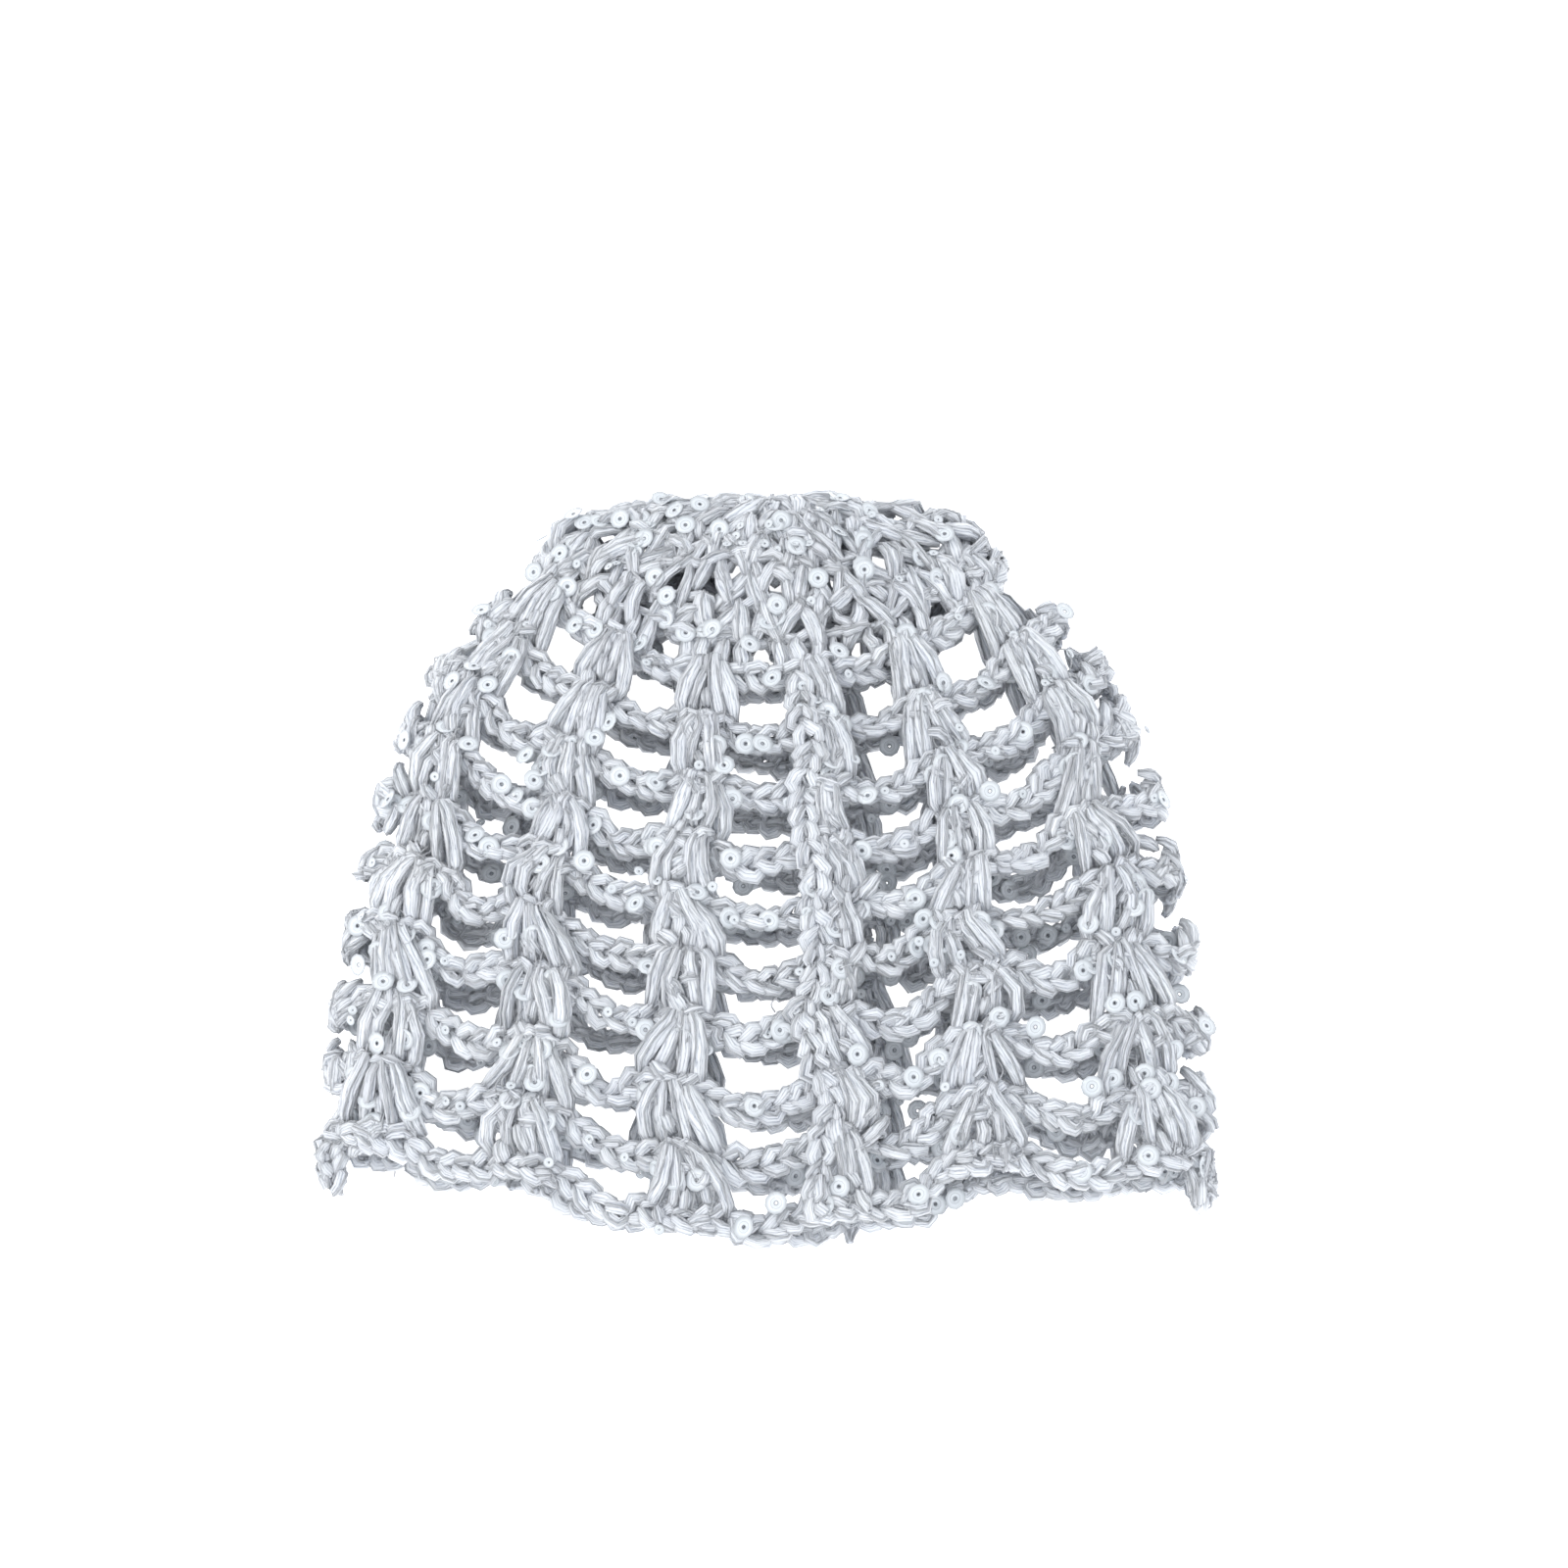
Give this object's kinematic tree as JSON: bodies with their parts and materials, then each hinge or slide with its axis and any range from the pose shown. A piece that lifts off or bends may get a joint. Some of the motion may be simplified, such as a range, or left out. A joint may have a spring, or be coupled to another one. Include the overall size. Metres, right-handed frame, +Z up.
{
  "type": "crochet beanie",
  "caption": "White openwork crochet beanie in a multi-strand sequin yarn, worked in rounds of shells and chain swags from a dense crown, lying flat on its back layer.",
  "frame": {"origin": "on the surface that the hat lies on, under the middle of its bounding box", "axes": "+Z up off the surface, +Y from the hem towards the crown, +X to the right across the front as seen from above"},
  "size_m": [0.2444, 0.2193, 0.0348],
  "materials": {
    "yarn": "matt multi-strand cotton yarn",
    "sequin": "pearly translucent film"
  },
  "bodies": {
    "root": {"crown_disc": "yarn", "shell_round_1": "yarn", "shell_round_2": "yarn", "shell_round_3": "yarn", "shell_round_4": "yarn", "shell_round_5": "yarn", "shell_round_6": "yarn", "shell_round_7": "yarn", "shell_round_8": "yarn", "shell_round_9": "yarn"}
  },
  "joints": []
}
